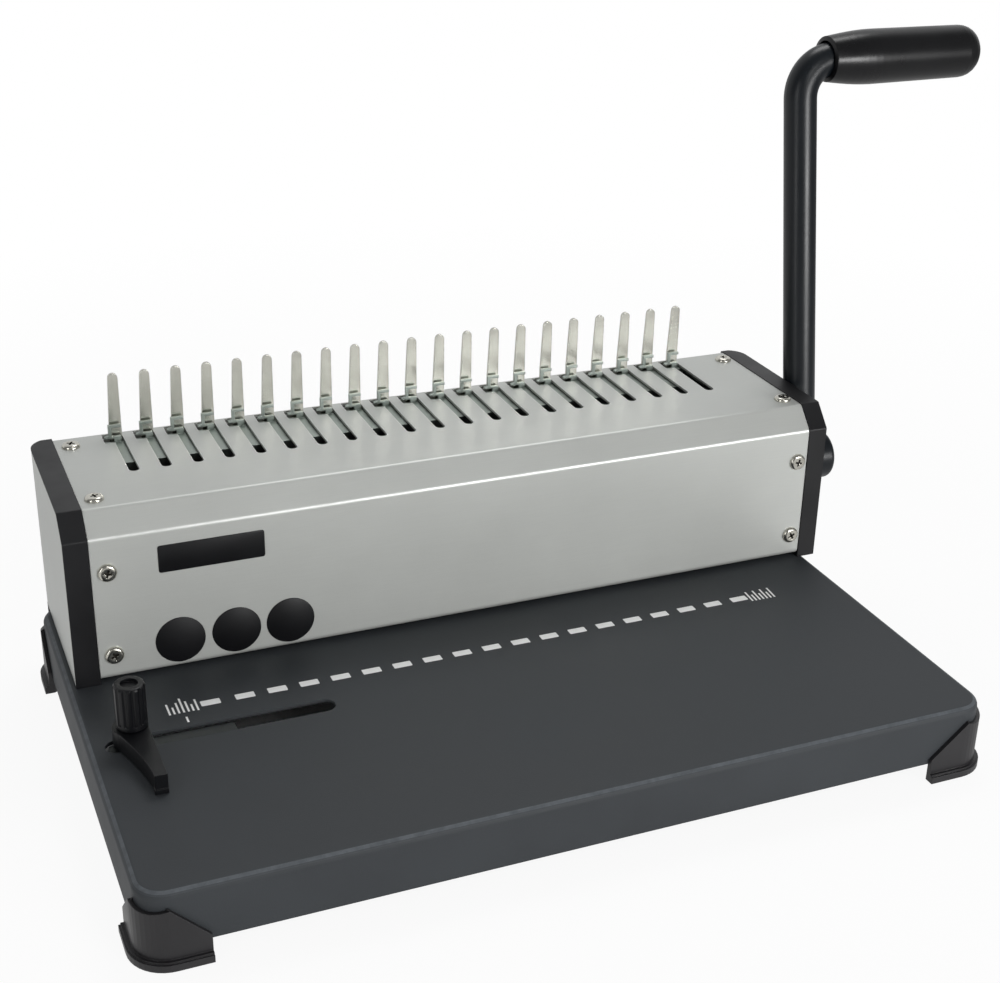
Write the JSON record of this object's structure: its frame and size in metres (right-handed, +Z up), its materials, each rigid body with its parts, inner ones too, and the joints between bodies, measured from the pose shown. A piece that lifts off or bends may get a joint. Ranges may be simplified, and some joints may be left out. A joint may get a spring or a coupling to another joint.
{
  "type": "comb binding machine",
  "caption": "Hand-lever comb binding machine: punches a row of slots for a plastic comb and opens the comb over upright blades, with a paper tray and edge guide.",
  "frame": {"origin": "centre of the whole outline seen from above, on the surface the feet stand on", "axes": "+X along the machine towards the handle, +Y from the paper tray to the back, +Z up"},
  "size_m": [0.4834, 0.2426, 0.2779],
  "materials": {
    "tray_paint": "dark slate-grey satin powder coat on pressed steel sheet",
    "cover_silver": "fine-grained satin silver finish on folded sheet",
    "cap_plastic": "black moulded plastic with a light satin texture",
    "foot_plastic": "dark grey moulded feet with a soft sheen",
    "bar_paint": "gloss blue-black paint on steel bar",
    "grip_plastic": "black smooth hand grip",
    "guide_plastic": "black moulded edge guide and knob",
    "blade_steel": "bright plated blades",
    "rake_zinc": "zinc-plated sheet with bright edges",
    "tool_steel": "ground steel of the punch set",
    "drive_steel": "bare machined steel",
    "frame_zinc": "zinc-plated sheet steel",
    "screw_nickel": "nickel-plated screws",
    "bush_bronze": "sintered bronze bushes",
    "drawer_plastic": "black moulded chip drawer"
  },
  "bodies": {
    "root": {"base_tray": "tray_paint", "foot_front_left": "foot_plastic", "foot_front_right": "foot_plastic", "foot_rear_left": "foot_plastic", "foot_rear_right": "foot_plastic", "foot_screws": "screw_nickel", "front_cover": "cover_silver", "rear_cover": "cover_silver", "end_cap_left": "cap_plastic", "end_cap_right": "cap_plastic", "side_panel_left": "cover_silver", "side_panel_right": "cover_silver", "cover_screws": "screw_nickel", "rear_screws": "screw_nickel", "frame_plate_left": "frame_zinc", "frame_plate_right": "frame_zinc", "frame_screws": "screw_nickel", "shaft_bush_left": "bush_bronze", "shaft_bush_right": "bush_bronze", "tie_rod": "drive_steel", "spring_pegs": "drive_steel", "die_plate": "tool_steel", "punch_guide_plate": "tool_steel", "throat_spacers": "frame_zinc", "comb_blades": "blade_steel", "blade_bar": "frame_zinc", "rake_rail_left": "cap_plastic", "rake_rail_right": "cap_plastic", "drawer_runner_left": "frame_zinc", "drawer_runner_right": "frame_zinc", "return_springs": "drive_steel"},
    "handle": {"drive_shaft": "drive_steel", "punch_cams": "drive_steel", "sector_left": "drive_steel", "sector_right": "drive_steel", "handle_hub": "bar_paint", "handle_bar": "bar_paint", "hand_grip": "grip_plastic"},
    "punch": {"punch_carrier": "tool_steel", "punches": "tool_steel", "punch_keeper": "tool_steel", "keeper_screws": "screw_nickel"},
    "rake": {"rake_plate": "rake_zinc", "rack_left": "drive_steel", "rack_right": "drive_steel"},
    "edge_guide": {"edge_guide": "guide_plastic", "guide_slider": "rake_zinc", "guide_stud": "drive_steel"},
    "guide_knob": {"guide_knob": "guide_plastic"},
    "chip_drawer": {"chip_drawer": "drawer_plastic"}
  },
  "joints": [
    {"name": "handle_hinge", "type": "hinge", "parent": "root", "child": "handle", "pos_m": [0.14125, 0.06595, 0.07], "axis": [1, 0, 0], "range_deg": [0, 85]},
    {"name": "punch_slide", "type": "slide", "parent": "root", "child": "punch", "axis": [0, 0, -1], "range_m": [0, 0.00801], "deforming": ["return_springs"]},
    {"name": "rake_slide", "type": "slide", "parent": "root", "child": "rake", "axis": [0, -1, 0], "range_m": [0, 0.02675]},
    {"name": "guide_slide", "type": "slide", "parent": "root", "child": "edge_guide", "axis": [1, 0, 0], "range_m": [0, 0.075]},
    {"name": "knob_turn", "type": "hinge", "parent": "edge_guide", "child": "guide_knob", "pos_m": [-0.21915, -0.01805, 0.05], "axis": [0, 0, 1], "range_deg": [0, 360]},
    {"name": "drawer_slide", "type": "slide", "parent": "root", "child": "chip_drawer", "axis": [0, 1, 0], "range_m": [0, 0.06]}
  ],
  "couplings": [
    {"joint": "punch_slide", "follows": "handle_hinge", "m_per_rad": 0.0053925},
    {"joint": "rake_slide", "follows": "handle_hinge", "m_per_rad": 0.018}
  ]
}
